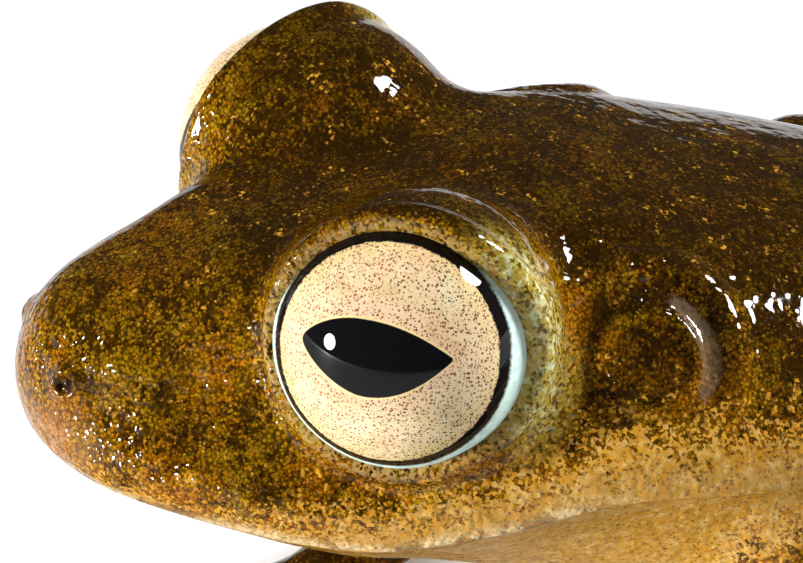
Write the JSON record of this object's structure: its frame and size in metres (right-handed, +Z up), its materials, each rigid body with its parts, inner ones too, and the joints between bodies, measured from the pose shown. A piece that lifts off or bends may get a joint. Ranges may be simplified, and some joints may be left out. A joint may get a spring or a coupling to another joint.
{
  "type": "life-size model of a rain frog",
  "caption": "Still life-size model of a small olive-brown rain frog sitting with its head raised and large cream eyes.",
  "frame": {"origin": "on the floor under the middle of the model", "axes": "the frog faces -Y, its left side is +X, and Z is up"},
  "size_m": [0.0364, 0.034, 0.013],
  "materials": {
    "back_skin": "wet granular skin, olive brown with gold and dark specks",
    "limb_skin": "wet granular skin, brown with darker bars",
    "throat_skin": "wet pale skin, cream with small dark dots",
    "eye": "smooth, wet and clear over a cream iris and black pupil"
  },
  "bodies": {
    "root": {"head": "back_skin", "lower_jaw": "throat_skin", "torso": "back_skin", "eye_left": "eye", "eye_right": "eye", "upper_arm_left": "limb_skin", "forearm_left": "limb_skin", "hand_left": "limb_skin", "thigh_left": "limb_skin", "shank_left": "limb_skin", "tarsus_left": "limb_skin", "foot_left": "limb_skin", "upper_arm_right": "limb_skin", "forearm_right": "limb_skin", "hand_right": "limb_skin", "thigh_right": "limb_skin", "shank_right": "limb_skin", "tarsus_right": "limb_skin", "foot_right": "limb_skin"}
  },
  "joints": []
}
